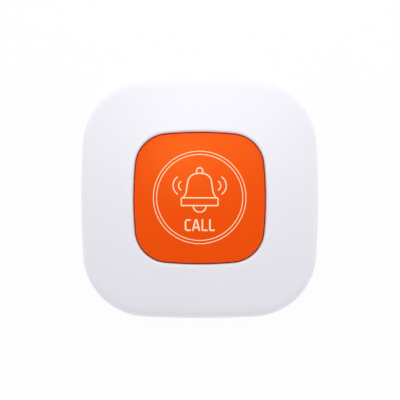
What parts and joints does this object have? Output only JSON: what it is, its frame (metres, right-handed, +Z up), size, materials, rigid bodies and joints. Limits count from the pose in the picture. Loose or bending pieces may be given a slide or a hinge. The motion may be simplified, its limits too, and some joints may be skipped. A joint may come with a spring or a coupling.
{
  "type": "waiter call button",
  "caption": "Rounded-square table call button: white domed housing on rubber feet, large orange push key in the middle, coin-slot battery door in the base.",
  "frame": {"origin": "middle of the outline, on the table under the feet", "axes": "+Z up through the key, +Y towards the far side of the key's face, +X to its right"},
  "size_m": [0.07, 0.07, 0.0175],
  "materials": {
    "white_shell": "moulded white ABS, satin gloss",
    "orange_key": "moulded orange ABS, satin gloss",
    "inner_plastic": "natural grey moulding",
    "seal_rubber": "black seal rubber",
    "boot_silicone": "pale translucent silicone",
    "board_laminate": "green solder mask",
    "switch_plastic": "black moulding",
    "plated_steel": "nickel-plated strip",
    "chip_resin": "black moulding resin",
    "capacitor_ceramic": "tan ceramic chips",
    "aluminium_can": "drawn can",
    "copper_wire": "enamelled copper wire",
    "cell_steel": "stainless can",
    "screw_steel": "zinc-plated screws",
    "spring_steel": "spring wire",
    "foot_rubber": "dark grey rubber"
  },
  "bodies": {
    "housing": {"top_housing": "white_shell", "base_cover": "white_shell", "guide_plate": "inner_plastic", "switch_boot": "boot_silicone", "circuit_board": "board_laminate", "switch_base": "switch_plastic", "switch_cover": "plated_steel", "radio_chip": "chip_resin", "radio_crystal": "plated_steel", "chip_capacitors": "capacitor_ceramic", "buffer_capacitor": "aluminium_can", "antenna_coil": "copper_wire", "negative_contact": "plated_steel", "positive_contact": "plated_steel", "coin_cell": "cell_steel", "cover_screws": "screw_steel", "cap_spring_1": "spring_steel", "cap_spring_2": "spring_steel", "cap_spring_3": "spring_steel", "cap_spring_4": "spring_steel", "rubber_foot_1": "foot_rubber", "rubber_foot_2": "foot_rubber", "rubber_foot_3": "foot_rubber", "rubber_foot_4": "foot_rubber"},
    "call_cap": {"call_cap": "orange_key"},
    "switch_plunger": {"switch_plunger": "switch_plastic"},
    "battery_door": {"battery_door": "white_shell", "door_seal_ring": "seal_rubber"}
  },
  "joints": [
    {"name": "cap_press", "type": "slide", "parent": "housing", "child": "call_cap", "axis": [0, 0, -1], "range_m": [0, 0.001], "stiffness_N_per_m": 1000, "springref_m": -0.0015, "deforming": ["cap_spring_1", "cap_spring_2", "cap_spring_3", "cap_spring_4", "switch_boot"]},
    {"name": "plunger_press", "type": "slide", "parent": "housing", "child": "switch_plunger", "axis": [0, 0, -1], "range_m": [0, 0.0003]},
    {"name": "battery_door_turn", "type": "hinge", "parent": "housing", "child": "battery_door", "pos_m": [0, 0, 0.001], "axis": [0, 0, -1], "range_deg": [0, 40]}
  ],
  "couplings": [
    {"joint": "plunger_press", "follows": "cap_press", "ratio": 0.3}
  ]
}
